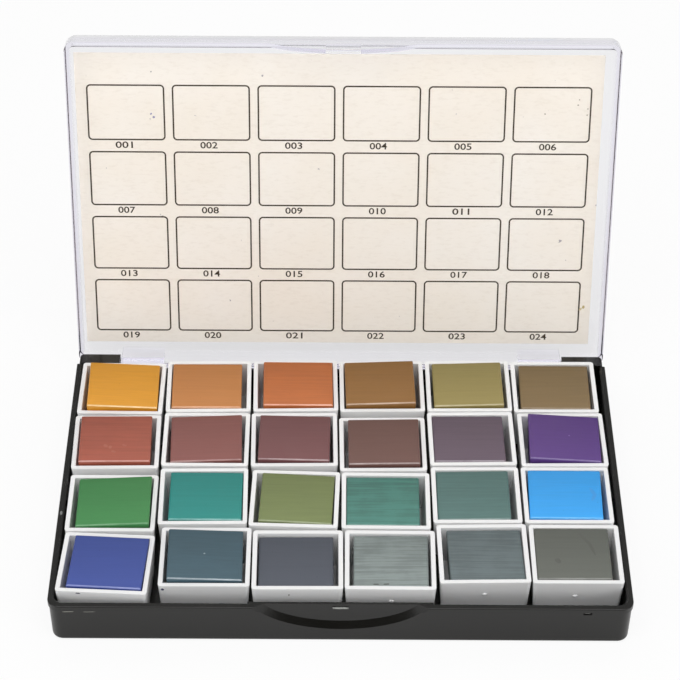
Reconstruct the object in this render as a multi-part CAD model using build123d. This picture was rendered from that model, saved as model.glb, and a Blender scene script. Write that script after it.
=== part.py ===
from build123d import *
import math
import os

# A plastic box of 24 watercolour half pans, with a clear lid that swings back on moulded pins.
# All sizes are millimetres and degrees. The origin is the centre of the tray's underside,
# +X is the painter's right, -Y is the front edge with the finger recess, and +Z is up.
# The lid and its card are shaped closed and then swung open, which is how the box is shown.

# Half pans, four rows of six, and the cake of paint in each one
COLUMNS = 6
ROWS = 4
PAN_WIDTH = 19.5
PAN_DEPTH = 17.3
PAN_HEIGHT = 10.8
PAN_WALL = 0.95
PAN_FLOOR = 1.0
PAN_DRAFT = 3.4
PAN_CORNER = 0.7
PAN_GAP_X = 0.6
PAN_GAP_Y = 0.8
CAKE_PLAY_X = 1.45
CAKE_PLAY_Y = 0.7
CAKE_EDGE = 0.25

# Tray
FLOOR = 1.6
SIDE_WALL = 1.3
END_WALL = 1.6
SIDE_PLAY = 0.6
FRONT_PLAY = 2.8
BACK_PLAY = 2.2
PAN_PROUD = 1.4
FRONT_CORNER = 2.6
REAR_CORNER = 1.6
TRAY_DRAFT = 1.1
CAVITY_DRAFT = 1.0
CAVITY_CORNER = 2.0
FOOT_ROUND = 1.1
LIP_HEIGHT = 1.6
LIP_PROUD = 0.2
LIP_CHAMFER = 0.28
RIM_ROUND = 0.25
RIM_BEVEL = 0.4
NOTCH_WIDTH = 1.85
NOTCH_HEIGHT = 0.45
NOTCH_DEPTH = 0.4
NOTCH_DROP = 0.2
NOTCH_FROM_CORNER = 9.8
LEDGE_HEIGHT = 0.4
LEDGE_SLOPE = 0.2
LEDGE_LIFT = 0.1

# Finger recess in the tray's front wall, with its catch
RECESS_HALF_WIDTH = 18.15
RECESS_HALF_HEIGHT = 9.15
RECESS_RISE = 3.8
RECESS_DEPTH = 1.2
RECESS_BEVEL = 1.55
BACKING = 0.8
BACKING_DROP = 0.7
CATCH_WIDTH = 3.4
CATCH_HEIGHT = 0.7
CATCH_PROUD = 0.4
CATCH_SLOPE = 0.2
CATCH_ROOT = 0.4
CATCH_DROP = 1.3

# Hinge
PIN_DIAMETER = 1.2
PIN_CLEARANCE = 0.06
PIN_LENGTH = 2.5
BLOCK_WIDTH = 10.0
BLOCK_DEPTH = 3.5
BLOCK_INSET = 0.6
BLOCK_HEIGHT = 6.0
BLOCK_SKIN = 0.44
BLOCK_ROOF = 0.84
BLOCK_CLEAR = 0.2
LEAF_DROP = 1.2
LUG_LENGTH = 10.0
LUG_WALL = 0.6
PART_GAP = 0.3
OPEN_ANGLE = 103.5

# Lid, its finger tab and the colour card
LID_WALL = 1.2
LID_PANEL = 1.2
LID_HEADROOM = 2.0
LID_EDGE_ROUND = 0.6
LID_INNER_CORNER = 1.0
LID_INNER_ROUND = 0.5
TAB_THICKNESS = 0.9
TAB_WIDER = 0.95
TAB_SHORTER = 1.65
POCKET_WIDTH = 7.8
POCKET_DEPTH = 0.45
POCKET_BAR = 0.9
BAR_RELIEF = 0.2
CARD_PLAY_X = 2.8
CARD_PLAY_Y = 5.2
CARD_THICKNESS = 0.3
CARD_SHIFT = 0.8

# How each pan was last dropped in its place: to the right, to the back, and turned in degrees.
# The rows run from the back of the box to the front, and each one from left to right.
PAN_SEATS = [
    [(-0.5, -0.9, -0.6), (-0.5, 0, 1), (-0.5, 0.3, 1.2), (-0.6, 0.3, 0.9), (-0.6, 0.6, 0.7), (-0.7, 0.4, 0.3)],
    [(-0.5, -0.7, 1), (-0.4, 0.3, 0), (-0.5, 0.4, 0.9), (-0.6, -1, 0.8), (-0.5, 1, 1.1), (0, 0.8, 0.7)],
    [(-0.1, -2, 0), (-0.2, 0.3, 0.8), (-0.1, -0.4, -1.8), (-0.1, -0.8, -0.2), (-0.2, 1.1, 0.5), (-0.2, 1.2, 0.3)],
    [(-0.2, -2, -2.9), (1, 0, 0.1), (0.8, -0.7, 0.3), (0.6, -0.6, -0.3), (0.6, 1.4, 1.1), (0.5, 1.4, 0.1)],
]

# How each cake sits in its pan: to the right, to the back, turned in degrees, how far the middle
# of its top stands above the pan's rim, and how much higher its back edge and its right edge
# are than its front and left ones.
CAKE_SEATS = [
    [(0.4, 0.05, 1.4, 1.05, 0.1, -1), (-0.45, 0, 0, 0.25, 0.3, -0.2), (0.6, 0, -0.3, 0.8, 0.2, -0.3),
     (-0.45, 0.05, 0.8, 1.2, -0.1, 0.3), (-0.15, 0, 0.3, 0.65, 0, 0.4), (0.05, -0.05, -1.1, 0.05, 0.1, 0.2)],
    [(-0.2, 0.05, 0.5, 1.05, 0.2, -0.2), (0.05, 0, 1.7, 0.4, 0.1, 0.4), (0.05, 0, -1.7, 0.65, -0.2, -0.2),
     (0.25, 0.05, -0.2, 0.9, -0.1, 0.2), (-0.65, 0, 0, 0.05, 0.2, -0.1), (0.45, 0, -2, 0.75, 0, -0.8)],
    [(0.4, 0.05, 0.7, 0.65, 0, 0.8), (0.55, 0, -0.6, 0.1, 0.1, -0.1), (0.45, -0.05, -0.9, 0.3, 0.3, -0.3),
     (-0.65, -0.05, -0.1, -0.1, 0.2, 0), (-0.65, 0.05, 0, -0.1, 0.4, 0.3), (-0.4, 0, -1.6, 0.3, 0.3, 0.3)],
    [(0.55, 0, -0.8, 0.5, 0.3, 0.1), (0.05, 0, 0.7, 0.8, 0, -0.8), (-0.35, -0.1, 0.2, -0.6, 0.3, 0),
     (0.15, -0.05, -0.1, -0.3, 0.4, 0.2), (0.55, -0.1, 0.8, -0.35, 0.3, -0.2), (-0.65, 0.1, 0, 0.05, 0.4, 0)],
]

# Sizes that follow from the ones above
PITCH_X = PAN_WIDTH + PAN_GAP_X
PITCH_Y = PAN_DEPTH + PAN_GAP_Y
BOX_WIDTH = COLUMNS * PITCH_X + 2 * (SIDE_PLAY + SIDE_WALL)
BOX_DEPTH = ROWS * PITCH_Y + FRONT_PLAY + BACK_PLAY + 2 * END_WALL
ROWS_CENTRE = (FRONT_PLAY - BACK_PLAY) / 2
RIM = FLOOR + PAN_HEIGHT - PAN_PROUD
PAN_TOP = FLOOR + PAN_HEIGHT
RIGHT = BOX_WIDTH / 2
FRONT = -BOX_DEPTH / 2
BACK = BOX_DEPTH / 2

PIN_HOLE = PIN_DIAMETER / 2 + PIN_CLEARANCE
HINGE_Y = BACK - PIN_HOLE - BLOCK_SKIN
HINGE_Z = RIM - PIN_HOLE - BLOCK_ROOF
BLOCK_INNER = RIGHT - BLOCK_WIDTH
LEAF_END = BLOCK_INNER - PART_GAP
LEAF_SWING = math.hypot(BACK - HINGE_Y, LEAF_DROP)
SILL = HINGE_Z - LEAF_SWING - PART_GAP

LID_RIM = RIM + PART_GAP
CARD_FACE = PAN_TOP + LID_HEADROOM
PANEL_INSIDE = CARD_FACE + CARD_THICKNESS
LID_TOP = PANEL_INSIDE + LID_PANEL
HINGE_AXIS = Axis((0, HINGE_Y, HINGE_Z), (1, 0, 0))

LID_INSIDE_WIDTH = BOX_WIDTH - 2 * LID_WALL
LID_INSIDE_DEPTH = BOX_DEPTH - 2 * LID_WALL
CARD_WIDTH = LID_INSIDE_WIDTH - CARD_PLAY_X
CARD_DEPTH = LID_INSIDE_DEPTH - CARD_PLAY_Y
CAKE_WIDTH = PAN_WIDTH - 2 * PAN_WALL - CAKE_PLAY_X
CAKE_DEPTH = PAN_DEPTH - 2 * PAN_WALL - CAKE_PLAY_Y

# Room that cutting tools run past the face that they cut, how far a rib or tab runs into the
# wall that it grows from, and how near two heights must be to count as one
OVERRUN = 1.0
ROOT = 0.6
SAME = 0.01


def tapered_block(width, depth, bottom, top, draft):
    """A block whose top outline is given and whose flat sides lean in towards its bottom."""
    height = top - bottom
    inset = height * math.tan(math.radians(draft))
    block = Wedge(width, height, depth, inset, inset, width - inset, depth - inset)
    return Pos(0, 0, (top + bottom) / 2) * Rot(-90, 0, 0) * block


def standing_edges(block, side):
    """The upright edges of a block on its front half (side -1) or its rear half (side 1)."""
    height = block.bounding_box().size.Z
    return [
        edge
        for edge in block.edges()
        if edge.bounding_box().size.Z > height / 2 and side * edge.center().Y > 0
    ]


def round_corners(block, front_corner, rear_corner):
    """Rounds the two front and the two rear upright edges of a block."""
    block = fillet(standing_edges(block, -1), front_corner)
    return fillet(standing_edges(block, 1), rear_corner)


def span(x_range, y_range, z_range):
    """A box between pairs of coordinates."""
    corner = [min(pair) for pair in (x_range, y_range, z_range)]
    size = [abs(pair[1] - pair[0]) for pair in (x_range, y_range, z_range)]
    return Pos(*corner) * Box(*size, align=(Align.MIN, Align.MIN, Align.MIN))


def box_slab(width, depth, bottom, top):
    """A plate between two heights with the corners of the box, which are rounder at the front."""
    plate = span((-width / 2, width / 2), (-depth / 2, depth / 2), (bottom, top))
    return round_corners(plate, FRONT_CORNER, REAR_CORNER)


def rod(radius, x_from, x_to, y, z):
    """A round bar along X."""
    plane = Plane(origin=(min(x_from, x_to), y, z), z_dir=(1, 0, 0))
    return extrude(plane * Circle(radius), abs(x_to - x_from))


def profile_bar(x_from, x_to, points):
    """A bar along X whose section is given by (y, z) points."""
    section = make_face(Polyline([(x_from, y, z) for y, z in points], close=True))
    return extrude(section, x_to - x_from, dir=(1, 0, 0))


def edges_at(shape, height):
    """The edges of a shape that lie flat at one height."""
    return shape.edges().filter_by_position(Axis.Z, height - SAME, height + SAME)


def inner_edges_at(shape, height, width, depth):
    """Those of the flat edges at one height that lie round an inside of the given size."""
    return [
        edge
        for edge in edges_at(shape, height)
        if abs(edge.center().X) < width / 2 + SAME and abs(edge.center().Y) < depth / 2 + SAME
    ]


def recess_tool():
    """A shallow oval cone that leans with the front wall: a flat floor and a wide bevel round it."""
    lean = math.radians(TRAY_DRAFT)
    wall = Plane(
        origin=(0, FRONT + LIP_PROUD, RIM),
        x_dir=(1, 0, 0),
        z_dir=(0, -math.cos(lean), -math.sin(lean)),
    )
    floor_depth = RECESS_DEPTH - LIP_PROUD
    grow = RECESS_BEVEL / floor_depth

    def section(out):
        widen = grow * (out + floor_depth)
        oval = Ellipse(RECESS_HALF_WIDTH + widen, RECESS_HALF_HEIGHT + widen)
        return wall.offset(out) * Pos(0, RECESS_RISE) * oval

    return loft([section(-floor_depth), section(2 * LIP_PROUD)])


def hinge_blocks():
    """The two rear corners, thickened inwards to take the lid's pins."""
    outline = box_slab(BOX_WIDTH - 2 * BLOCK_INSET, BOX_DEPTH, RIM - BLOCK_HEIGHT, RIM)
    right = span((BLOCK_INNER, RIGHT), (BACK - BLOCK_DEPTH, BACK), (RIM - BLOCK_HEIGHT, RIM)) & outline
    return right + mirror(right, Plane.YZ)


def hinge_relief():
    """What the rear ends of the sides are set in by, beside the hinge blocks."""
    zone = span(
        (0, RIGHT + OVERRUN),
        (BACK - BLOCK_DEPTH - PART_GAP, BACK + OVERRUN),
        (-OVERRUN, RIM + OVERRUN),
    )
    kept = box_slab(BOX_WIDTH - 2 * BLOCK_INSET, BOX_DEPTH, -2 * OVERRUN, RIM + 2 * OVERRUN)
    right = zone - kept
    return right + mirror(right, Plane.YZ)


def hinge_cuts():
    """The pin holes, and the rounding that lets the lid's rim pass over the back of the blocks."""
    hole = rod(PIN_HOLE, BLOCK_INNER - OVERRUN, BLOCK_INNER + PIN_LENGTH + PART_GAP, HINGE_Y, HINGE_Z)
    corner = span(
        (BLOCK_INNER - OVERRUN, RIGHT + OVERRUN),
        (HINGE_Y, BACK + OVERRUN),
        (HINGE_Z, RIM + OVERRUN),
    )
    radius = LID_RIM - HINGE_Z - BLOCK_CLEAR
    rounding = corner - rod(radius, BLOCK_INNER - 2 * OVERRUN, RIGHT + 2 * OVERRUN, HINGE_Y, HINGE_Z)
    cuts = [hole, rounding]
    return cuts + [mirror(cut, Plane.YZ) for cut in cuts]


def tray_shell():
    """The tray's floor and drafted walls, with the lip that stands proud round the rim."""
    body = tapered_block(BOX_WIDTH - 2 * LIP_PROUD, BOX_DEPTH - 2 * LIP_PROUD, 0, RIM, TRAY_DRAFT)
    body = round_corners(body, FRONT_CORNER - LIP_PROUD, REAR_CORNER - LIP_PROUD)
    body = fillet(edges_at(body, 0), FOOT_ROUND)
    lip = box_slab(BOX_WIDTH, BOX_DEPTH, RIM - LIP_HEIGHT, RIM)
    lip = chamfer(edges_at(lip, RIM - LIP_HEIGHT), LIP_CHAMFER)
    lip = fillet(edges_at(lip, RIM), RIM_ROUND)
    inside_width = BOX_WIDTH - 2 * SIDE_WALL
    inside_depth = BOX_DEPTH - 2 * END_WALL
    cavity = tapered_block(inside_width, inside_depth, FLOOR, RIM, CAVITY_DRAFT)
    cavity = round_corners(cavity, CAVITY_CORNER, CAVITY_CORNER)
    tray = body + lip - cavity
    return chamfer(inner_edges_at(tray, RIM, inside_width, inside_depth), RIM_BEVEL)


def recess_backing():
    """The thicker stretch of front wall behind the finger recess."""
    inner_face = FRONT + END_WALL
    half_width = RECESS_HALF_WIDTH + END_WALL
    return span(
        (-half_width, half_width),
        (inner_face - ROOT, inner_face + BACKING),
        (FLOOR - ROOT, RIM - BACKING_DROP),
    )


def catch_nub():
    """The low nub in the recess, with a sloping top, that the lid's tab snaps over."""
    recess_floor = FRONT + RECESS_DEPTH
    front = recess_floor - CATCH_PROUD
    back = recess_floor + CATCH_ROOT
    top = RIM - CATCH_DROP + CATCH_HEIGHT / 2
    bottom = RIM - CATCH_DROP - CATCH_HEIGHT / 2
    section = [
        (back, bottom),
        (front, bottom),
        (front, top - CATCH_SLOPE),
        (recess_floor, top),
        (back, top),
    ]
    return profile_bar(-CATCH_WIDTH / 2, CATCH_WIDTH / 2, section)


def rear_cut_out():
    """The gap between the hinge blocks that the lid's leaf fills."""
    return span((-BLOCK_INNER, BLOCK_INNER), (BACK - BLOCK_DEPTH, BACK + OVERRUN), (SILL, RIM + OVERRUN))


def lip_notch():
    """A small slot under the front lip near its right end, and the sloping ledge cut above it."""
    middle_x = RIGHT - NOTCH_FROM_CORNER
    middle_z = RIM - LIP_HEIGHT - NOTCH_DROP
    left = middle_x - NOTCH_WIDTH / 2
    right = middle_x + NOTCH_WIDTH / 2
    outside = FRONT - OVERRUN
    inside = FRONT + NOTCH_DEPTH
    slot_top = middle_z + NOTCH_HEIGHT / 2
    slot = span((left, right), (outside, inside), (slot_top - NOTCH_HEIGHT, slot_top))
    low = slot_top + LEDGE_LIFT
    high = low + LEDGE_HEIGHT
    section = [(outside, low), (FRONT, low), (inside, low + LEDGE_SLOPE), (inside, high), (outside, high)]
    return slot + profile_bar(left, right, section)


def base_tray():
    """The black tray with its finger recess, catch and hinge blocks."""
    tray = tray_shell() + recess_backing() + hinge_blocks()
    for cut in [rear_cut_out(), hinge_relief(), *hinge_cuts(), recess_tool()]:
        tray -= cut
    return tray + catch_nub() - lip_notch()


def finger_tab():
    """The oval tab under the lid's front edge, which drops into the recess and snaps on the catch."""
    half_width = RECESS_HALF_WIDTH + TAB_WIDER
    half_height = RECESS_HALF_HEIGHT - TAB_SHORTER
    plane = Plane(origin=(0, FRONT + TAB_THICKNESS, RIM + RECESS_RISE), x_dir=(1, 0, 0), z_dir=(0, -1, 0))
    oval = extrude(plane * Ellipse(half_width, half_height), TAB_THICKNESS)
    tab = oval & span((-RIGHT, RIGHT), (FRONT - OVERRUN, 0), (0, LID_RIM + ROOT))
    lowest = RIM + RECESS_RISE - half_height
    inside = FRONT + TAB_THICKNESS
    half_pocket = POCKET_WIDTH / 2
    tab -= span(
        (-half_pocket, half_pocket),
        (inside - POCKET_DEPTH, inside + OVERRUN),
        (lowest + POCKET_BAR, LID_RIM),
    )
    tab -= span(
        (-half_pocket, half_pocket),
        (inside - BAR_RELIEF, inside + OVERRUN),
        (lowest - OVERRUN, lowest + POCKET_BAR),
    )
    return tab


def hinge_leaf():
    """The skirt that fills the tray's rear cut-out, with a lug and a pin at each end."""
    leaf = span((-LEAF_END, LEAF_END), (BACK - LID_WALL, BACK), (HINGE_Z - LEAF_DROP, LID_RIM + ROOT))
    lug_radius = PIN_DIAMETER / 2 + LUG_WALL
    lug = rod(lug_radius, LEAF_END - LUG_LENGTH, LEAF_END, HINGE_Y, HINGE_Z)
    lug += span((LEAF_END - LUG_LENGTH, LEAF_END), (HINGE_Y - lug_radius, BACK), (HINGE_Z, PANEL_INSIDE))
    lug = lug & span((0, RIGHT), (0, BACK), (0, LID_TOP))
    pin = rod(PIN_DIAMETER / 2, LEAF_END - OVERRUN, LEAF_END + PART_GAP + PIN_LENGTH, HINGE_Y, HINGE_Z)
    side = lug + pin
    return leaf + side + mirror(side, Plane.YZ)


def clear_lid():
    """The shallow clear cover, made closed and swung open about its pins."""
    shell = box_slab(BOX_WIDTH, BOX_DEPTH, LID_RIM, LID_TOP)
    shell = fillet(edges_at(shell, LID_TOP), LID_EDGE_ROUND)
    hollow = span(
        (-LID_INSIDE_WIDTH / 2, LID_INSIDE_WIDTH / 2),
        (-LID_INSIDE_DEPTH / 2, LID_INSIDE_DEPTH / 2),
        (LID_RIM - OVERRUN, PANEL_INSIDE),
    )
    hollow = round_corners(hollow, LID_INNER_CORNER, LID_INNER_CORNER)
    hollow = fillet(edges_at(hollow, PANEL_INSIDE), LID_INNER_ROUND)
    lid = shell - hollow + finger_tab() + hinge_leaf()
    return lid.rotate(HINGE_AXIS, -OPEN_ANGLE)


def colour_card():
    """The paper card that lies against the inside of the lid."""
    card = span(
        (-CARD_WIDTH / 2 - CARD_SHIFT, CARD_WIDTH / 2 - CARD_SHIFT),
        (-CARD_DEPTH / 2, CARD_DEPTH / 2),
        (CARD_FACE, PANEL_INSIDE),
    )
    return card.rotate(HINGE_AXIS, -OPEN_ANGLE)


def half_pan():
    """A white tub with drafted walls, standing on z = 0."""
    outside = tapered_block(PAN_WIDTH, PAN_DEPTH, 0, PAN_HEIGHT, PAN_DRAFT)
    outside = round_corners(outside, PAN_CORNER, PAN_CORNER)
    inside = tapered_block(
        PAN_WIDTH - 2 * PAN_WALL, PAN_DEPTH - 2 * PAN_WALL, PAN_FLOOR, PAN_HEIGHT, PAN_DRAFT
    )
    return outside - inside


def paint_cake(rise, back_up, right_up):
    """A cut block of dry paint on the pan's floor, with a slanting top and worn top edges."""
    height = PAN_HEIGHT - PAN_FLOOR + rise
    spare = abs(back_up) + abs(right_up) + CAKE_EDGE
    flare = 2 * spare * math.tan(math.radians(PAN_DRAFT))
    high = PAN_FLOOR + height + spare
    cake = tapered_block(CAKE_WIDTH + flare, CAKE_DEPTH + flare, PAN_FLOOR, high, PAN_DRAFT)
    top = Plane(
        origin=(0, 0, PAN_FLOOR + height),
        z_dir=(-right_up / CAKE_WIDTH, -back_up / CAKE_DEPTH, 1),
    )
    cake = split(cake, top, keep=Keep.BOTTOM)
    upper = cake.faces().sort_by(Axis.Z)[-1]
    return chamfer(upper.edges(), CAKE_EDGE)


def seat(row, column):
    """Where one half pan stands in the tray."""
    right, back, turn = PAN_SEATS[row][column]
    x = (column - (COLUMNS - 1) / 2) * PITCH_X + right
    y = ((ROWS - 1) / 2 - row) * PITCH_Y + ROWS_CENTRE + back
    return Pos(x, y, FLOOR) * Rot(0, 0, turn)


def write(shape, name):
    """Writes one node to its own file."""
    solid = shape.solid() if len(shape.solids()) == 1 else shape
    solid.label = name
    export_step(solid, f"parts/{name}.step")


def main():
    os.makedirs("parts", exist_ok=True)
    write(base_tray(), "base_tray")
    write(clear_lid(), "lid")
    write(colour_card(), "colour_card")
    pan = half_pan()
    for row in range(ROWS):
        for column in range(COLUMNS):
            number = row * COLUMNS + column + 1
            place = seat(row, column)
            right, back, turn, *top = CAKE_SEATS[row][column]
            cake = Pos(right, back, 0) * Rot(0, 0, turn) * paint_cake(*top)
            write(place * pan, f"half_pan_{number:02d}")
            write(place * cake, f"paint_{number:02d}")


main()
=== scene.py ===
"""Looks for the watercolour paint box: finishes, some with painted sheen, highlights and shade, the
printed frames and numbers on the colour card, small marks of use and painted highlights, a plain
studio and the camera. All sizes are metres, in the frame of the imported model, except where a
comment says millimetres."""

import math

import bmesh
import bpy
from mathutils import Matrix, Vector


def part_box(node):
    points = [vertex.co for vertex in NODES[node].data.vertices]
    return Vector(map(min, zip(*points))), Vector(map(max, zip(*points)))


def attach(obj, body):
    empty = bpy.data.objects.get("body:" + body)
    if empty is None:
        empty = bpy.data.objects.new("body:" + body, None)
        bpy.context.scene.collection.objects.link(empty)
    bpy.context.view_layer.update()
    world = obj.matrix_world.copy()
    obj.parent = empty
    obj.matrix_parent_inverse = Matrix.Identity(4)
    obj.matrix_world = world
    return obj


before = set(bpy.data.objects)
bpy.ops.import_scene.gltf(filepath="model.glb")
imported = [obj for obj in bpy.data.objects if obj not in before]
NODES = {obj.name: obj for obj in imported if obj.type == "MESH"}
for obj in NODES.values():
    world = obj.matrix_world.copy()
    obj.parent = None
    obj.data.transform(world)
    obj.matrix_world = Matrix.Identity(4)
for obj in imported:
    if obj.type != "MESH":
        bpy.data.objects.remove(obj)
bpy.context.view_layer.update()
MM = 0.001
QUARTER_TURN = math.radians(90)

# The slot and the body of the pieces that aren't pans or paints
FIXED_PIECES = {
    "base_tray": ("black_plastic", "box"),
    "lid": ("clear_plastic", "cover"),
    "colour_card": ("card_paper", "cover"),
}

# The grid of frames on the card, which is also that of the pans
COLUMNS = 6
ROWS = 4

# The open lid leans back from upright, so the card's own axes are tilted by this
LEAN = math.radians(13.5)
CARD_UP = Vector((0, math.sin(LEAN), math.cos(LEAN)))
CARD_OUT = Vector((0, -math.cos(LEAN), math.sin(LEAN)))
CARD_THICKNESS = 0.3 * MM

# Printed frames on the card; the first centre is measured from the card's bottom left corner
FRAME_WIDTH = 17.64 * MM
FRAME_HEIGHT = 13.6 * MM
FRAME_CORNER = 1.0 * MM
FRAME_LINE = 0.35 * MM
FRAME_PITCH_X = 19.32 * MM
FRAME_PITCH_UP = 16.31 * MM
FIRST_FRAME_X = 11.29 * MM
FIRST_FRAME_UP = 9.77 * MM
CORNER_STEPS = 7
CORNER_SIDES = ((1, 1), (-1, 1), (-1, -1), (1, -1))
INK_THICKNESS = 0.012 * MM
INK_LIFT = 0.004 * MM

# The numbers, whose middle lies this far left of their frame's centre and below it. How much bolder
# and how deep they are is in the font's own units
NUMBER_LEFT = 0.68 * MM
NUMBER_DROP = 7.93 * MM
NUMBER_HEIGHT = 1.63 * MM
NUMBER_WIDTH = 3.95 * MM
NUMBER_BOLDER = 0.014
NUMBER_DEPTH = 0.5
NUMBER_STEPS = 3

# The camera of the photograph: place, turn to the right, look down and roll; its lens and sensor are
# in millimetres
CAMERA_PLACE = Vector((-1.877, -376.777, 382.709)) * MM
CAMERA_TURN = math.radians(0.2202)
CAMERA_DOWN = math.radians(41.3563)
CAMERA_ROLL = math.radians(0.4631)
CAMERA_LENS = 124.856
CAMERA_SENSOR = 36.0
CLIP_START = 0.01
CLIP_END = 20.0

# The standard curve from screen colours, which run from 0 to 255 here, to light
SCREEN_WHITE = 255
CURVE_KNEE = 0.04045
CURVE_SLOPE = 12.92
CURVE_OFFSET = 0.055
CURVE_POWER = 2.4

# Every finish below uses noise: its scale is per metre, and low and high are the values between
# which its effect comes in. These are the noise's other values where a finish names none
PLAIN_DETAIL = 4.0
PLAIN_ROUGHNESS = 0.55
EVEN = (1, 1, 1)

# Black moulding: fine scratches that lie in patches, an uneven sheen and a grain
BLACK = (15, 14, 11)
BLACK_WORN = (74, 74, 70)
BLACK_SCRATCHES = dict(
    noise=dict(scale=900, detail=3, roughness=0.6, stretch=(0.12, 1, 1)), low=0.65, high=0.74
)
BLACK_PATCHES = dict(noise=dict(scale=70, detail=3), low=0.48, high=0.68)
BLACK_WEAR = 0.4
BLACK_ROUGHNESS = dict(noise=dict(scale=160, detail=5), low=0.3, high=0.75, out_low=0.16, out_high=0.27)
BLACK_GRAIN = dict(noise=dict(scale=2600, detail=2), strength=0.05, distance=0.03 * MM)
BLACK_IOR = 1.5

# White moulding: specks of pigment, and light that goes a little way in
PAN_WHITE = (240, 240, 240)
PAN_SPECK = (150, 146, 140)
PAN_SPECKS = dict(noise=dict(scale=620, detail=2, roughness=0.5), low=0.765, high=0.8)
PAN_ROUGHNESS = dict(noise=dict(scale=240, detail=3), low=0.3, high=0.7, out_low=0.28, out_high=0.4)
PAN_GRAIN = dict(noise=dict(scale=1400, detail=2), strength=0.05, distance=0.03 * MM)
PAN_IOR = 1.49
PAN_MILKY = 0.1
PAN_MILKY_REACH = (1.2 * MM, 1.1 * MM, 1.0 * MM)

# The dry paints, back row first and left to right: colour, how strong the marks of the cutting wire
# are, and how pale the painted highlight on the front edge is
PAINTS = [
    ((212, 145, 28), 0.8, 0.9),  # ochre
    ((183, 119, 61), 0.8, 0.6),  # tan
    ((179, 99, 46), 1.2, 0.8),  # burnt orange
    ((134, 92, 38), 0.8, 0.8),  # bronze
    ((142, 128, 73), 0.8, 0.5),  # olive
    ((120, 98, 62), 1.0, 0.3),  # umber
    ((156, 79, 60), 1.4, 0.6),  # brick
    ((129, 76, 71), 0.8, 0.45),  # mauve
    ((110, 66, 68), 0.8, 0.8),  # plum
    ((102, 69, 62), 0.8, 0.8),  # chestnut
    ((92, 76, 90), 1.0, 0.6),  # heather
    ((82, 48, 121), 0.8, 0.35),  # violet
    ((58, 129, 69), 0.8, 0.3),  # leaf green
    ((20, 131, 124), 0.8, 0.7),  # teal
    ((113, 125, 75), 1.0, 0.5),  # moss
    ((66, 121, 110), 2.6, 0.3),  # sea green
    ((78, 111, 107), 1.4, 0.4),  # pine
    ((44, 158, 233), 0.8, 0.3),  # sky blue
    ((54, 74, 149), 0.8, 0.5),  # indigo
    ((59, 86, 98), 1.2, 0.9),  # slate
    ((73, 78, 89), 0.8, 0.3),  # dusk
    ((126, 136, 134), 2.8, 0.3),  # pewter
    ((94, 106, 108), 2.4, 0.4),  # storm
    ((94, 97, 90), 0.8, 0.4),  # graphite
]

# Dry paint: streaks of the wire and a coarser mottle, which share the tone between them. The tone
# swings by the least and by some more for each unit of the wire's marks; the relief grows with them
PAINT_STREAKS = dict(scale=1900, detail=4, roughness=0.62, stretch=(0.03, 1, 1), distortion=0.4)
PAINT_MOTTLE = dict(scale=150, detail=4, roughness=0.6)
STREAK_SHARE = 0.6
MOTTLE_SHARE = 0.4
TONE_MIDDLE = 0.5
TONE_SPREAD = 0.16
STREAK_LEAST = 0.05
STREAK_MORE = 0.04
STREAK_RELIEF = 0.12
STREAK_DEPTH = 0.05 * MM

# Its tone is a share of its colour: darker at the back, and lighter and greyer at the front, which is
# painted sheen, with dark pits and a pale painted highlight on the front edge, which is found by its
# slope
# Painted sheen: the tones at the back and at the front, and the grey that the front gains
BACK_TONE = 0.84
FRONT_SHEEN_TONE = 1.12
SHEEN_VEIL = 0.012
SHEEN_DRIFT = dict(low=0.3, high=0.7, out_low=-1.2 * MM, out_high=1.2 * MM)
PAINT_PITS = dict(noise=dict(scale=1300, detail=2, roughness=0.5), low=0.74, high=0.79)
PIT_SHARE = 0.5
PIT_TONE = 0.5
# Painted highlight on the front edge, where the slope faces forward and up
EDGE_SLOPE = dict(low=-0.25, high=-0.38)
EDGE_PATCHES = dict(low=0.3, high=0.6)
EDGE_LEAST = 0.4
EDGE_HIGHLIGHT_TONE = 1.3
EDGE_HIGHLIGHT_PALE = 0.4
PAINT_ROUGHNESS = dict(low=0.3, high=0.7, out_low=0.34, out_high=0.46)
PAINT_IOR = 1.5

# Card: cream paper with a tooth drawn out sideways, painted shade in its hollows, warmer clouds and stray
# specks
PAPER_CREAM = (248, 241, 232)
PAPER_WARM = (246, 237, 225)
PAPER_HOLLOW_SHADE = (196, 180, 160)
PAPER_SPECK = (176, 168, 170)
PAPER_CLOUDS = dict(noise=dict(scale=38, detail=3), low=0.35, high=0.65)
PAPER_TOOTH = dict(scale=1500, detail=4, roughness=0.65, stretch=(0.35, 1, 1))
PAPER_HOLLOW_SHADING = dict(low=0.3, high=0.5, out_low=0.12, out_high=0.0)
PAPER_SPECKS = dict(noise=dict(scale=540, detail=2, roughness=0.5), low=0.76, high=0.79)
PAPER_ROUGHNESS = 0.85
PAPER_RELIEF = 0.5
PAPER_DEPTH = 0.1 * MM

# Printing ink, between a thick and a thin tone
INK_THICK = (46, 35, 20)
INK_THIN = (70, 56, 36)
INK_CLOUDS = dict(noise=dict(scale=900, detail=3), low=0.35, high=0.65)
INK_ROUGHNESS = 0.7

# The lid's plastic, whose tint takes light away with depth, per metre
LID_CLEAR = (0.965, 0.967, 0.963, 1)
LID_TINT = (0.42, 0.37, 0.7, 1)
LID_DENSITY = 52.0
LID_IOR = 1.25
LID_ROUGHNESS = dict(noise=dict(scale=120, detail=4), low=0.35, high=0.75, out_low=0.02, out_high=0.07)
LID_RIPPLE = dict(noise=dict(scale=500, detail=2), strength=0.02, distance=0.02 * MM)

# Edges of the paints and pans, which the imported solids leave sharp, and how near two of a solid's
# points are joined first
PAINT_EDGE = 0.16 * MM
PAN_EDGE = 0.1 * MM
WELD_REACH = 0.002 * MM
EDGE_STEPS = 4
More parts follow.
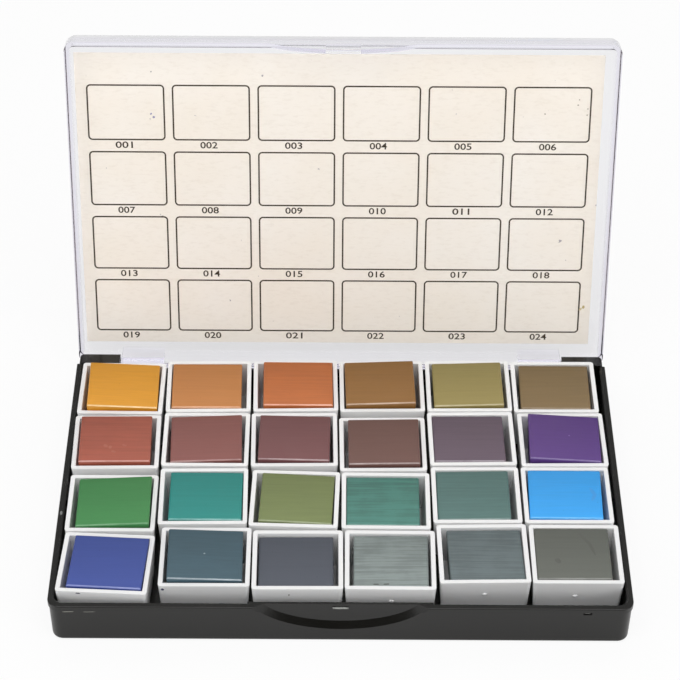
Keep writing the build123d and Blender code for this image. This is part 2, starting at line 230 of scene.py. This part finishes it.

# Small marks of use, and painted highlights on the catch nub, the notch's ledge and the left rim: name,
# the piece they lie on, the side they are seen from, colour, width, and their points in millimetres (x
# and y on a top, x and z on a front, along and up on the card)
MARKS = [
    (
        "scratch", "paint_24", "top", (88, 90, 84), 0.7,
        ((51.4, -18.9), (52.6, -20.8), (54.0, -22.9), (54.9, -25.9)),
    ),
    ("smudge", "paint_24", "top", (90, 92, 86), 1.1, ((46.3, -26.9), (46.7, -27.5), (47.2, -28.1))),
    ("nick_left", "paint_22", "top", (92, 96, 94), 0.35, ((6.9, -34.2), (8.2, -34.2))),
    ("nick_right", "paint_22", "top", (92, 96, 94), 0.35, ((9.1, -34.2), (10.4, -34.1))),
    ("fleck_20", "paint_20", "top", (140, 156, 162), 0.4, ((-29.5, -26.7), (-29.1, -26.7))),
    ("fleck_12", "paint_12", "top", (122, 94, 156), 0.35, ((51.6, 10.7), (52.0, 10.7))),
    ("scuff_a", "paint_07", "top", (168, 98, 81), 0.8, ((-53.4, 6.6), (-52.6, 5.8))),
    ("scuff_b", "paint_07", "top", (169, 100, 83), 0.7, ((-51.9, 6.3), (-52.0, 5.3))),
    ("scuff_c", "paint_07", "top", (168, 98, 81), 0.6, ((-51.6, 4.6), (-50.6, 4.2))),
    ("scuff_d", "paint_07", "top", (167, 96, 79), 0.5, ((-49.3, 6.7), (-48.3, 6.2))),
    ("dent", "paint_18", "top", (64, 152, 224), 0.8, ((55.2, -5.8), (56.2, -7.9), (55.4, -9.7))),
    ("stain_19", "half_pan_19", "front", (104, 100, 116), 0.4, ((-56.2, 11.9), (-55.2, 11.9))),
    ("stain_20", "half_pan_20", "front", (74, 74, 108), 0.6, ((-38.2, 11.5), (-37.6, 11.1))),
    ("scrape_left", "base_tray", "front", (132, 132, 124), 0.25, ((-58.9, 9.2), (-56.5, 9.3))),
    ("scrape_right", "base_tray", "front", (118, 118, 112), 0.2, ((-54.6, 9.2), (-51.9, 9.3))),
    # Painted highlight on the upper edge of the catch nub
    ("nub_highlight", "base_tray", "front", (140, 142, 138), 0.36, ((-1.7, 9.95), (0.0, 9.95), (1.7, 9.95))),
    # Painted highlight on the ledge of the notch in the front lip
    ("ledge_highlight", "base_tray", "front", (120, 120, 116), 0.3, ((51.6, 9.65), (53.0, 9.65))),
    # Painted highlight on the left rim
    ("rim_highlight", "base_tray", "top", (120, 122, 120), 0.5, ((-61.5, -13.2), (-61.5, -12.0))),
    ("ink_dot", "colour_card", "card", (146, 142, 176), 0.5, ((16.8, 58.5), (17.1, 58.3))),
    ("ink_dot_low", "colour_card", "card", (140, 136, 172), 0.5, ((17.3, 57.7), (17.8, 57.5))),
    ("dot_top", "colour_card", "card", (176, 170, 168), 0.35, ((17.1, 68.6), (17.4, 68.6))),
    ("dot_a", "colour_card", "card", (172, 160, 142), 0.3, ((113.8, 62.5), (114.0, 62.3))),
    ("dot_b", "colour_card", "card", (176, 164, 148), 0.35, ((113.5, 61.2), (113.8, 61.0))),
    ("dot_c", "colour_card", "card", (172, 160, 142), 0.3, ((115.8, 60.3), (116.0, 60.1))),
    ("dot_d", "colour_card", "card", (168, 156, 138), 0.3, ((115.7, 58.8), (115.9, 58.6))),
    ("dot_e", "colour_card", "card", (172, 160, 142), 0.3, ((106.1, 59.0), (106.4, 58.8))),
    ("yellow_spot", "colour_card", "card", (196, 176, 122), 0.8, ((117.3, 9.9), (117.9, 9.8))),
    ("yellow_trail", "colour_card", "card", (214, 198, 158), 0.5, ((117.2, 9.6), (116.6, 9.0))),
]

# A mark lies just above its face, and narrows at its ends to a share of its width. The face is found
# by a ray that starts well outside the box
MARK_LIFT = 0.012 * MM
MARK_STEPS = 5
MARK_TIP = 0.25
MARK_FULL = 1.8
MARK_CLOUDS = dict(scale=1600, detail=3)
MARK_DARK = 0.9
MARK_LIGHT = 1.1
MARK_ROUGHNESS = 0.5
RAY_START = 100 * MM

# The pips of the moulding gates: the pan, and x and z in millimetres on its front; the size is half
# of each pip's width, depth and height
GATES = [
    ("half_pan_22", 10.85, 8.45),
    ("half_pan_23", 30.85, 8.6),
    ("half_pan_24", 50.25, 8.2),
]
GATE_SIZE = Vector((0.6, 0.24, 0.4)) * MM
GATE_STEPS = 16

# The studio: levels are brightness, where 1 is white. The side of the world round this
# direction is dark, as the room behind the camera is
STUDIO_COLOUR = (1, 1, 1, 1)
STUDIO_LEVEL = 0.45
DARK_LEVEL = 0.08
DARK_SIDE = (0.0, -0.93, 0.37)
DARK_INSIDE = math.cos(math.radians(27))
DARK_OUTSIDE = math.cos(math.radians(46))
LAMPS = {
    "left": dict(place=(-1.1, -0.76, 0.44), size=(0.9, 0.6), level=3.0),
    "right": dict(place=(1.1, -0.76, 0.44), size=(0.9, 0.6), level=3.0),
    "back": dict(place=(0.0, 0.45, 0.95), size=(0.9, 0.4), level=0.8),
    "top": dict(place=(0.0, -0.42, 1.04), size=(1.0, 0.72), level=2.7),
}

# The floor, and how much of its shadow is lightened where the camera or the lid shows it
FLOOR_HALF = 3.0
FLOOR_COLOUR = (0.9, 0.9, 0.9, 1)
FLOOR_ROUGHNESS = 0.9
FLOOR_GLOW = 0.9
FLOOR_GLOW_THROUGH = 0.6


def on_screen(rgb):
    """A screen colour as linear values."""
    out = []
    for value in rgb:
        share = value / SCREEN_WHITE
        if share <= CURVE_KNEE:
            out.append(share / CURVE_SLOPE)
        else:
            out.append(((share + CURVE_OFFSET) / (1 + CURVE_OFFSET)) ** CURVE_POWER)
    return out


def shaded(colour, times, plus=0.0):
    """A colour made darker or lighter."""
    return [min(value * times + plus, 1.0) for value in colour]


class Nodes:
    """A short way to build a material's node tree."""

    def __init__(self, name):
        self.material = bpy.data.materials.new(name)
        self.material.use_nodes = True
        self.tree = self.material.node_tree
        self.shader = self.tree.nodes["Principled BSDF"]
        self.output = self.tree.nodes["Material Output"]
        coordinates = self.add("ShaderNodeTexCoord")
        self.place = coordinates.outputs["Object"]
        self.normal = coordinates.outputs["Normal"]

    def add(self, kind, **values):
        node = self.tree.nodes.new(kind)
        for name, value in values.items():
            setattr(node, name, value)
        return node

    def link(self, source, target):
        self.tree.links.new(source, target)

    def feed(self, source, name):
        """Links a value to one of the shader's own sockets."""
        self.link(source, self.shader.inputs[name])

    def set(self, **values):
        """Constants on the shader's own sockets."""
        for name, value in values.items():
            self.shader.inputs[name.replace("_", " ")].default_value = value

    def axis(self, vector, name):
        """One part of a vector: X, Y or Z."""
        node = self.add("ShaderNodeSeparateXYZ")
        self.link(vector, node.inputs[0])
        return node.outputs[name]

    def stretched(self, scale):
        """The place on the object, scaled differently along each axis."""
        node = self.add("ShaderNodeMapping")
        node.inputs["Scale"].default_value = scale
        self.link(self.place, node.inputs["Vector"])
        return node.outputs["Vector"]

    def noise(self, scale, detail=PLAIN_DETAIL, roughness=PLAIN_ROUGHNESS, stretch=EVEN, distortion=0.0):
        node = self.add("ShaderNodeTexNoise")
        node.inputs["Scale"].default_value = scale
        node.inputs["Detail"].default_value = detail
        node.inputs["Roughness"].default_value = roughness
        node.inputs["Distortion"].default_value = distortion
        self.link(self.stretched(stretch), node.inputs["Vector"])
        return node.outputs["Fac"]

    def ramp(self, value, low, high, out_low=0.0, out_high=1.0):
        """Maps a range of a value to another, clamped."""
        node = self.add("ShaderNodeMapRange")
        node.inputs["From Min"].default_value = low
        node.inputs["From Max"].default_value = high
        node.inputs["To Min"].default_value = out_low
        node.inputs["To Max"].default_value = out_high
        self.link(value, node.inputs["Value"])
        return node.outputs["Result"]

    def patches(self, noise, **limits):
        """A noise of its own, mapped between its limits."""
        return self.ramp(self.noise(**noise), **limits)

    def math(self, operation, first, second):
        node = self.add("ShaderNodeMath", operation=operation)
        for socket, value in zip(node.inputs, (first, second)):
            if isinstance(value, (int, float)):
                socket.default_value = value
            else:
                self.link(value, socket)
        return node.outputs[0]

    def mix(self, share, first, second):
        """A blend of two colours or colour outputs."""
        node = self.add("ShaderNodeMix", data_type="RGBA")
        self.link(share, node.inputs["Factor"])
        for name, value in (("A", first), ("B", second)):
            socket = [s for s in node.inputs if s.name == name and s.type == "RGBA"][0]
            if isinstance(value, (list, tuple)):
                socket.default_value = (*value, 1.0)
            else:
                self.link(value, socket)
        return [s for s in node.outputs if s.type == "RGBA"][0]

    def bump(self, height, strength, distance):
        node = self.add("ShaderNodeBump")
        node.inputs["Strength"].default_value = strength
        node.inputs["Distance"].default_value = distance
        self.link(height, node.inputs["Height"])
        self.feed(node.outputs["Normal"], "Normal")

    def grain(self, noise, strength, distance):
        """A relief from a noise of its own."""
        self.bump(self.noise(**noise), strength, distance)


def black_plastic():
    """Smooth black moulding with a fine grain, scuffs and pale rubbed marks."""
    m = Nodes("black_plastic")
    scratches = m.math("MULTIPLY", m.patches(**BLACK_SCRATCHES), m.patches(**BLACK_PATCHES))
    share = m.math("MULTIPLY", scratches, BLACK_WEAR)
    m.feed(m.mix(share, on_screen(BLACK), on_screen(BLACK_WORN)), "Base Color")
    m.feed(m.patches(**BLACK_ROUGHNESS), "Roughness")
    m.set(IOR=BLACK_IOR)
    m.grain(**BLACK_GRAIN)
    return m.material


def white_plastic():
    """Smooth white moulding, a little milky, with a few specks of pigment."""
    m = Nodes("white_plastic")
    m.feed(m.mix(m.patches(**PAN_SPECKS), on_screen(PAN_WHITE), on_screen(PAN_SPECK)), "Base Color")
    m.feed(m.patches(**PAN_ROUGHNESS), "Roughness")
    m.set(IOR=PAN_IOR)
    m.set(Subsurface_Weight=PAN_MILKY, Subsurface_Radius=PAN_MILKY_REACH, Subsurface_Scale=1.0)
    m.grain(**PAN_GRAIN)
    return m.material


def paint_tone(m, pure, node, marks, streaks, mottle):
    """The paint's colour across its top: streaked, and lighter and greyer towards the front, which is
    painted sheen.
    """
    low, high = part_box(node)
    fine = m.math("MULTIPLY", streaks, STREAK_SHARE)
    coarse = m.math("MULTIPLY", mottle, MOTTLE_SHARE)
    spread = TONE_SPREAD / marks
    share = m.ramp(m.math("ADD", fine, coarse), TONE_MIDDLE - spread, TONE_MIDDLE + spread)
    swing = STREAK_LEAST + STREAK_MORE * marks
    # Painted sheen: the tone is darker at the back and lighter and greyer at the front
    at_back = m.mix(share, shaded(pure, BACK_TONE - swing), shaded(pure, BACK_TONE + swing))
    sheened = m.mix(share, shaded(pure, FRONT_SHEEN_TONE - swing, SHEEN_VEIL), shaded(pure, FRONT_SHEEN_TONE + swing, SHEEN_VEIL))
    across = m.math("ADD", m.axis(m.place, "Y"), m.ramp(mottle, **SHEEN_DRIFT))
    return m.mix(m.ramp(across, high.y, low.y), at_back, sheened)


def paint_material(node, colour, marks, edge_highlight):
    """Dry paint, cut with a wire: streaks along the cut, small pits, a pale painted highlight on the
    front edge, and a painted sheen that makes the top lighter and greyer towards it."""
    m = Nodes(node)
    pure = on_screen(colour)
    streaks = m.noise(**PAINT_STREAKS)
    mottle = m.noise(**PAINT_MOTTLE)
    tone = paint_tone(m, pure, node, marks, streaks, mottle)
    pits = m.math("MULTIPLY", m.patches(**PAINT_PITS), PIT_SHARE)
    tone = m.mix(pits, tone, shaded(pure, PIT_TONE))
    slope = m.math("MULTIPLY", m.axis(m.normal, "Y"), m.axis(m.normal, "Z"))
    patches = m.ramp(mottle, **EDGE_PATCHES, out_low=EDGE_LEAST * edge_highlight, out_high=edge_highlight)
    edge = m.math("MULTIPLY", m.ramp(slope, **EDGE_SLOPE), patches)
    # Painted highlight on the front edge, found by its slope
    tone = m.mix(edge, tone, shaded(pure, EDGE_HIGHLIGHT_TONE, EDGE_HIGHLIGHT_PALE))
    m.feed(tone, "Base Color")
    m.feed(m.ramp(mottle, **PAINT_ROUGHNESS), "Roughness")
    m.set(IOR=PAINT_IOR)
    m.bump(streaks, STREAK_RELIEF * marks, STREAK_DEPTH)
    return m.material


def paper():
    """Cream watercolour paper: soft tooth, drawn out sideways, with painted shade in its hollows and
    stray specks.
    """
    m = Nodes("card_paper")
    tint = m.mix(m.patches(**PAPER_CLOUDS), on_screen(PAPER_CREAM), on_screen(PAPER_WARM))
    tooth = m.noise(**PAPER_TOOTH)
    # Painted shade: the low places of the paper's tooth are darker
    tint = m.mix(m.ramp(tooth, **PAPER_HOLLOW_SHADING), tint, on_screen(PAPER_HOLLOW_SHADE))
    m.feed(m.mix(m.patches(**PAPER_SPECKS), tint, on_screen(PAPER_SPECK)), "Base Color")
    m.set(Roughness=PAPER_ROUGHNESS)
    m.bump(tooth, PAPER_RELIEF, PAPER_DEPTH)
    return m.material


def ink():
    """Dark warm grey printing ink, a little uneven."""
    m = Nodes("frame_ink")
    m.feed(m.mix(m.patches(**INK_CLOUDS), on_screen(INK_THICK), on_screen(INK_THIN)), "Base Color")
    m.set(Roughness=INK_ROUGHNESS)
    return m.material


def clear_plastic():
    """Clear plastic with a faint lilac depth and hazy, lightly rubbed faces."""
    m = Nodes("clear_plastic")
    m.set(Base_Color=LID_CLEAR, Transmission_Weight=1.0, IOR=LID_IOR)
    m.feed(m.patches(**LID_ROUGHNESS), "Roughness")
    m.grain(**LID_RIPPLE)
    depth = m.add("ShaderNodeVolumeAbsorption")
    depth.inputs["Color"].default_value = LID_TINT
    depth.inputs["Density"].default_value = LID_DENSITY
    m.link(depth.outputs["Volume"], m.output.inputs["Volume"])
    return m.material


def mark_material(name, colour):
    """A stain, dab, rubbed spot or painted highlight of uneven colour."""
    m = Nodes(name)
    tone = on_screen(colour)
    m.feed(m.mix(m.noise(**MARK_CLOUDS), shaded(tone, MARK_DARK), shaded(tone, MARK_LIGHT)), "Base Color")
    m.set(Roughness=MARK_ROUGHNESS)
    return m.material


def slot_and_body(node):
    """The record's slot and body of a CAD node."""
    if node in FIXED_PIECES:
        return FIXED_PIECES[node]
    kind, number = node.rsplit("_", 1)
    slot = "white_plastic" if kind == "half_pan" else node
    return slot, f"colour_{number}"


def give(node, material):
    """Puts one material on a CAD node."""
    piece = NODES[node]
    piece.data.materials.clear()
    piece.data.materials.append(material)
    slot, _body = slot_and_body(node)


def soften(node, width):
    """Joins a CAD node's faces and rounds its edges a little, so that they catch the light."""
    piece = NODES[node]
    weld = piece.modifiers.new("weld", "WELD")
    weld.merge_threshold = WELD_REACH
    bevel = piece.modifiers.new("edges", "BEVEL")
    bevel.width = width
    bevel.segments = EDGE_STEPS
    bevel.limit_method = "ANGLE"
    bevel.harden_normals = True


def dress_cad():
    """Materials for every node, and softer edges for the pans and paints."""
    give("base_tray", black_plastic())
    give("lid", clear_plastic())
    give("colour_card", paper())
    white = white_plastic()
    for number, (colour, marks, edge_highlight) in enumerate(PAINTS, start=1):
        pan = f"half_pan_{number:02d}"
        paint = f"paint_{number:02d}"
        give(pan, white)
        give(paint, paint_material(paint, colour, marks, edge_highlight))
        soften(pan, PAN_EDGE)
        soften(paint, PAINT_EDGE)


def piece_from(name, mesh, material, carrier):
    """Turns a bmesh into a piece that rides with a CAD node."""
    data = bpy.data.meshes.new(name)
    bmesh.ops.recalc_face_normals(mesh, faces=mesh.faces)
    mesh.to_mesh(data)
    mesh.free()
    piece = bpy.data.objects.new(name, data)
    bpy.context.scene.collection.objects.link(piece)
    data.materials.append(material)
    slot, body = slot_and_body(carrier)
    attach(piece, body)


def card_place(along, up, lift=INK_LIFT):
    """A point on the card's face, from its bottom left corner."""
    low, _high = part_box("colour_card")
    corner = low + Vector((0, 0, math.sin(LEAN) * CARD_THICKNESS))
    return corner + Vector((along, 0, 0)) + CARD_UP * up + CARD_OUT * lift


def frame_centres():
    """Number and centre of every frame on the card, from the top left one."""
    for row in range(ROWS):
        for column in range(COLUMNS):
            yield (
                row * COLUMNS + column + 1,
                FIRST_FRAME_X + column * FRAME_PITCH_X,
                FIRST_FRAME_UP + (ROWS - 1 - row) * FRAME_PITCH_UP,
            )


def rounded_outline(width, height, corner):
    """Points of a rounded rectangle, anticlockwise, centred on zero."""
    points = []
    for turn, (side_x, side_y) in enumerate(CORNER_SIDES):
        middle = Vector((side_x * (width / 2 - corner), side_y * (height / 2 - corner)))
        for step in range(CORNER_STEPS + 1):
            angle = QUARTER_TURN * (turn + step / CORNER_STEPS)
            points.append(middle + corner * Vector((math.cos(angle), math.sin(angle))))
    return points


def add_ring(mesh, along, up):
    """One printed frame, as a raised line of even width."""
    outer = rounded_outline(FRAME_WIDTH, FRAME_HEIGHT, FRAME_CORNER)
    inner = rounded_outline(
        FRAME_WIDTH - 2 * FRAME_LINE, FRAME_HEIGHT - 2 * FRAME_LINE, FRAME_CORNER - FRAME_LINE
    )
    rings = []
    for outline, height in ((outer, 0), (outer, INK_THICKNESS), (inner, INK_THICKNESS), (inner, 0)):
        lift = INK_LIFT + height
        rings.append([mesh.verts.new(card_place(along + p.x, up + p.y, lift)) for p in outline])
    count = len(outer)
    for ring, following in zip(rings, rings[1:] + rings[:1]):
        for index in range(count):
            ahead = (index + 1) % count
            mesh.faces.new((ring[index], ring[ahead], following[ahead], following[index]))


def printed_frames(material):
    """The empty frames, one for each paint."""
    mesh = bmesh.new()
    for _number, along, up in frame_centres():
        add_ring(mesh, along, up)
    piece_from("printed_frames", mesh, material, "colour_card")


def number_mesh(text):
    """A number as a thin solid, in the font's own units."""
    curve = bpy.data.curves.new("number", "FONT")
    curve.body = text
    curve.resolution_u = NUMBER_STEPS
    curve.extrude = NUMBER_DEPTH
    curve.offset = NUMBER_BOLDER
    holder = bpy.data.objects.new("number", curve)
    bpy.context.scene.collection.objects.link(holder)
    bpy.context.view_layer.update()
    depsgraph = bpy.context.evaluated_depsgraph_get()
    mesh = bpy.data.meshes.new_from_object(holder.evaluated_get(depsgraph))
    bpy.data.objects.remove(holder)
    return mesh


def add_number(mesh, number, along, up):
    """One number, brought to its size and laid on the card."""
    shape = number_mesh(f"{number:03d}")
    xs = [vertex.co.x for vertex in shape.vertices]
    ys = [vertex.co.y for vertex in shape.vertices]
    wide = NUMBER_WIDTH / (max(xs) - min(xs))
    tall = NUMBER_HEIGHT / (max(ys) - min(ys))
    corners = []
    for vertex in shape.vertices:
        x = along - NUMBER_LEFT + (vertex.co.x - (max(xs) + min(xs)) / 2) * wide
        y = up - NUMBER_DROP + (vertex.co.y - (max(ys) + min(ys)) / 2) * tall
        lift = INK_LIFT + (INK_THICKNESS if vertex.co.z > 0 else 0)
        corners.append(mesh.verts.new(card_place(x, y, lift)))
    for polygon in shape.polygons:
        mesh.faces.new([corners[index] for index in polygon.vertices])


def printed_numbers(material):
    """The numbers 001 to 024 under their frames."""
    mesh = bmesh.new()
    for number, along, up in frame_centres():
        add_number(mesh, number, along, up)
    piece_from("printed_numbers", mesh, material, "colour_card")


def touch(node, side, first, second):
    """The point and normal of a piece's face under a mark."""
    if side == "card":
        return card_place(first * MM, second * MM), CARD_OUT
    start = Vector((first * MM, second * MM, RAY_START))
    towards = Vector((0, 0, -1))
    if side == "front":
        start = Vector((first * MM, -RAY_START, second * MM))
        towards = Vector((0, 1, 0))
    depsgraph = bpy.context.evaluated_depsgraph_get()
    hit, place, normal, _face = NODES[node].ray_cast(start, towards, depsgraph=depsgraph)
    assert hit, (node, first, second)
    return place, normal


def stroke_points(points):
    """Points along a stroke, evenly between its corners."""
    for (x, y), (next_x, next_y) in zip(points, points[1:]):
        for step in range(MARK_STEPS):
            share = step / MARK_STEPS
            yield x + share * (next_x - x), y + share * (next_y - y)
    yield points[-1]


def add_mark(name, node, side, colour, width, points):
    """A thin stroke that lies on a piece's face and narrows at both ends."""
    places = [touch(node, side, first, second) for first, second in stroke_points(points)]
    last = len(places) - 1
    mesh = bmesh.new()
    edges = []
    for index, (place, normal) in enumerate(places):
        ahead = places[min(index + 1, last)][0] - places[max(index - 1, 0)][0]
        across = ahead.cross(normal).normalized()
        fullness = min(1.0, MARK_FULL * math.sin(math.pi * index / last))
        half = width * MM / 2 * (MARK_TIP + (1 - MARK_TIP) * fullness)
        middle = place + normal * MARK_LIFT
        edges.append((mesh.verts.new(middle - across * half), mesh.verts.new(middle + across * half)))
    for (left, right), (next_left, next_right) in zip(edges, edges[1:]):
        mesh.faces.new((left, right, next_right, next_left))
    piece_from(f"mark_{name}", mesh, mark_material(f"mark_{name}", colour), node)


def add_gate(node, x, z):
    """A low rounded pip on the front of a pan, where its moulding was fed."""
    place, _normal = touch(node, "front", x, z)
    mesh = bmesh.new()
    bmesh.ops.create_uvsphere(mesh, u_segments=GATE_STEPS, v_segments=GATE_STEPS // 2, radius=1)
    bmesh.ops.scale(mesh, vec=GATE_SIZE, verts=mesh.verts)
    bmesh.ops.translate(mesh, vec=place, verts=mesh.verts)
    # A sphere's faces come in another order each run, so they are sorted by their corners
    mesh.verts.index_update()
    for rank, face in enumerate(sorted(mesh.faces, key=lambda face: [v.index for v in face.verts])):
        face.smooth = True
        face.index = rank
    mesh.faces.sort()
    number = node.rsplit("_", 1)[1]
    piece_from(f"gate_{number}", mesh, NODES[node].data.materials[0], node)


def add_small_things():
    """The printing, the marks of use, the painted highlights and the pips."""
    dark_ink = ink()
    printed_frames(dark_ink)
    printed_numbers(dark_ink)
    for mark in MARKS:
        add_mark(*mark)
    for gate in GATES:
        add_gate(*gate)


def set_camera():
    """The photograph's camera."""
    ahead = Vector((
        math.sin(CAMERA_TURN) * math.cos(CAMERA_DOWN),
        math.cos(CAMERA_TURN) * math.cos(CAMERA_DOWN),
        -math.sin(CAMERA_DOWN),
    ))
    level = Vector((math.cos(CAMERA_TURN), -math.sin(CAMERA_TURN), 0))
    upright = level.cross(ahead)
    right = math.cos(CAMERA_ROLL) * level + math.sin(CAMERA_ROLL) * upright
    up = math.cos(CAMERA_ROLL) * upright - math.sin(CAMERA_ROLL) * level
    data = bpy.data.cameras.new("camera")
    data.lens = CAMERA_LENS
    data.sensor_width = CAMERA_SENSOR
    data.clip_start = CLIP_START
    data.clip_end = CLIP_END
    camera = bpy.data.objects.new("camera", data)
    axes = Matrix((right, up, -ahead)).transposed().to_4x4()
    camera.matrix_world = Matrix.Translation(CAMERA_PLACE) @ axes
    bpy.context.scene.collection.objects.link(camera)
    bpy.context.scene.camera = camera


def softbox(name, place, size, level):
    """A rectangular lamp that faces the box; level is how bright its face is, where 1 is white."""
    data = bpy.data.lights.new(name, "AREA")
    data.shape = "RECTANGLE"
    data.size, data.size_y = size
    data.energy = level * math.pi * size[0] * size[1]
    lamp = bpy.data.objects.new(name, data)
    lamp.location = place
    lamp.rotation_mode = "QUATERNION"
    lamp.rotation_quaternion = (-Vector(place)).to_track_quat("-Z", "Y")
    bpy.context.scene.collection.objects.link(lamp)


def set_lamps():
    for name, lamp in LAMPS.items():
        softbox(name, **lamp)


def seen_directly(m, share=1.0, share_through=1.0):
    """One share for rays from the camera, one for rays through the clear lid, and 0 for other light."""
    path = m.add("ShaderNodeLightPath")
    plain = m.math("MULTIPLY", path.outputs["Is Camera Ray"], share)
    through = m.math("MULTIPLY", path.outputs["Is Transmission Ray"], share_through)
    return m.math("MAXIMUM", plain, through)


def floor_material():
    """A matt white floor whose shadow the camera sees lightened."""
    m = Nodes("floor")
    m.set(Base_Color=FLOOR_COLOUR, Roughness=FLOOR_ROUGHNESS)
    glow = m.add("ShaderNodeEmission")
    both = m.add("ShaderNodeMixShader")
    m.link(seen_directly(m, FLOOR_GLOW, FLOOR_GLOW_THROUGH), both.inputs["Fac"])
    m.link(m.shader.outputs["BSDF"], both.inputs[1])
    m.link(glow.outputs["Emission"], both.inputs[2])
    m.link(both.outputs["Shader"], m.output.inputs["Surface"])
    return m.material


def set_stage():
    """The floor, in line with the tray's underside."""
    mesh = bmesh.new()
    mesh.faces.new([mesh.verts.new((-x * FLOOR_HALF, -y * FLOOR_HALF, 0)) for x, y in CORNER_SIDES])
    data = bpy.data.meshes.new("floor")
    mesh.to_mesh(data)
    mesh.free()
    data.materials.append(floor_material())
    floor = bpy.data.objects.new("floor", data)
    bpy.context.scene.collection.objects.link(floor)


class WorldNodes(Nodes):
    """The same short way for the world's node tree."""

    def __init__(self, name):
        world = bpy.data.worlds.new(name)
        world.use_nodes = True
        bpy.context.scene.world = world
        self.tree = world.node_tree
        self.shader = self.tree.nodes["Background"]
        self.place = self.add("ShaderNodeTexCoord").outputs["Generated"]


def set_world():
    """White where it is seen directly, and a grey studio with one dark side for the light."""
    m = WorldNodes("studio")
    facing = m.add("ShaderNodeVectorMath", operation="DOT_PRODUCT")
    m.link(m.place, facing.inputs[0])
    facing.inputs[1].default_value = DARK_SIDE
    level = m.ramp(facing.outputs["Value"], DARK_OUTSIDE, DARK_INSIDE, STUDIO_LEVEL, DARK_LEVEL)
    m.feed(m.math("MAXIMUM", level, seen_directly(m)), "Strength")
    m.set(Color=STUDIO_COLOUR)


bpy.context.scene.view_settings.view_transform = "Standard"
dress_cad()
add_small_things()
set_stage()
set_world()
set_lamps()
set_camera()
